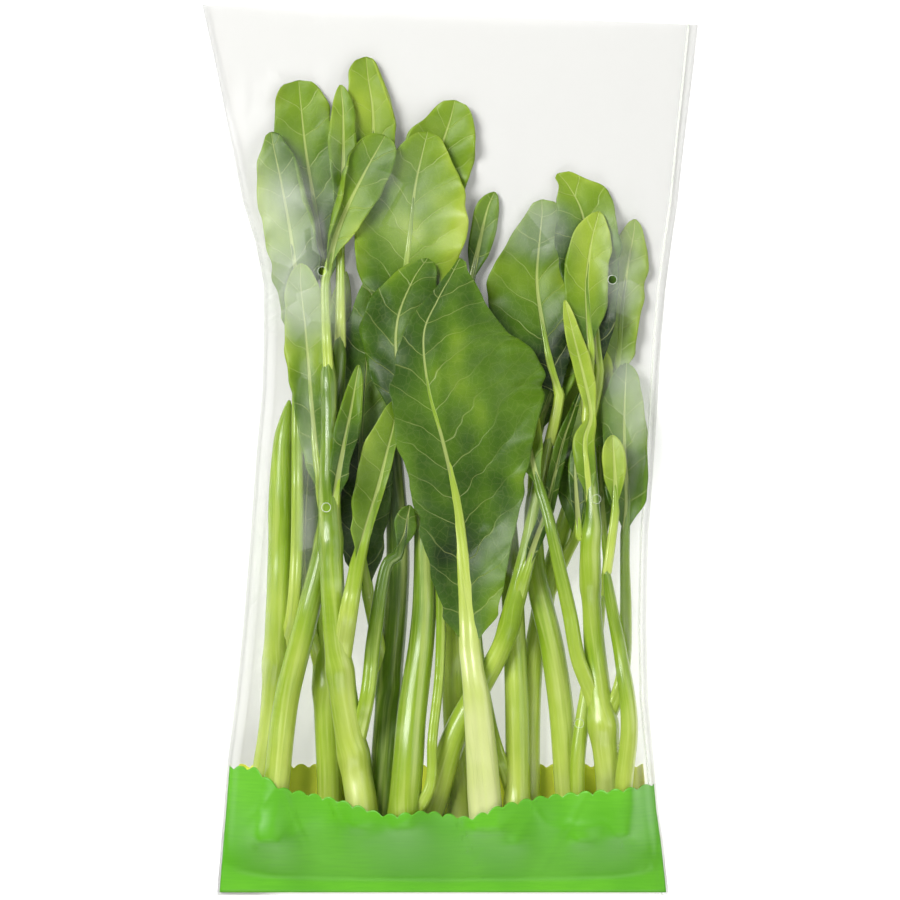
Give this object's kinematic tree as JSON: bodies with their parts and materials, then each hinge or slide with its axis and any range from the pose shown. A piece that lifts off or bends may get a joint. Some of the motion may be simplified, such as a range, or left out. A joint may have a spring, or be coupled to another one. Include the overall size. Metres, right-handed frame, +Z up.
{
  "type": "bunch of choy sum in a clear film bag",
  "caption": "Bunch of loose choy sum stalks with leafy tops, lying flat in an open clear film bag with a plain green band across its sealed end.",
  "frame": {"origin": "centre of the bounding box at the height of the surface that the bag lies on", "axes": "+X to the right across the bunch as seen from above, +Y along the bunch from the cut ends to the leaf tips and the bag's open mouth, +Z up from the surface"},
  "size_m": [0.2, 0.359, 0.0455],
  "materials": {
    "clear_film": "gloss",
    "stalk_green": "satin",
    "leaf_dark_green": "satin",
    "band_green": "gloss"
  },
  "bodies": {
    "root": {"bag": "clear_film", "front_leaf": "leaf_dark_green", "stalk_01": "stalk_green", "stalk_02": "stalk_green", "stalk_03": "stalk_green", "stalk_04": "stalk_green", "stalk_05": "stalk_green", "stalk_06": "stalk_green", "stalk_07": "stalk_green", "stalk_08": "stalk_green", "stalk_09": "stalk_green", "stalk_10": "stalk_green", "stalk_11": "stalk_green", "stalk_12": "stalk_green", "stalk_13": "stalk_green", "stalk_14": "stalk_green"}
  },
  "joints": []
}
